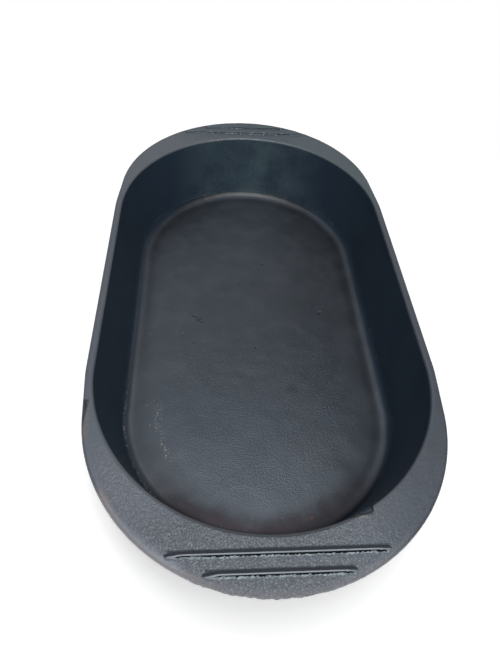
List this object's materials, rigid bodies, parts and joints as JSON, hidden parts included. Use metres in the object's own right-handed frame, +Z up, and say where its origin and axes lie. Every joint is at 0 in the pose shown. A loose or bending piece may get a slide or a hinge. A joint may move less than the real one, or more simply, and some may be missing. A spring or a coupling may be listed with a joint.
{
  "type": "baking pan",
  "caption": "Oval cast-iron baking pan: a deep bowl with leaning walls and a flat rim, and a flush crescent handle with raised grip ribs at each end.",
  "frame": {"origin": "on the table plane under the middle of the pan", "axes": "+Z up out of the bowl, +Y along the pan's length from the front handle to the rear handle, +X across it"},
  "size_m": [0.2094, 0.4072, 0.0594],
  "materials": {
    "seasoned_iron": "oil-seasoned sand casting, dark blue-grey, satin with an orange-peel surface",
    "rubbed_iron": "the same seasoned iron, rubbed slightly brighter where hands hold it"
  },
  "bodies": {
    "root": {"pan_bowl": "seasoned_iron", "front_handle": "seasoned_iron", "front_inner_rib": "rubbed_iron", "front_outer_rib": "rubbed_iron", "rear_handle": "seasoned_iron", "rear_inner_rib": "rubbed_iron", "rear_outer_rib": "rubbed_iron"}
  },
  "joints": []
}
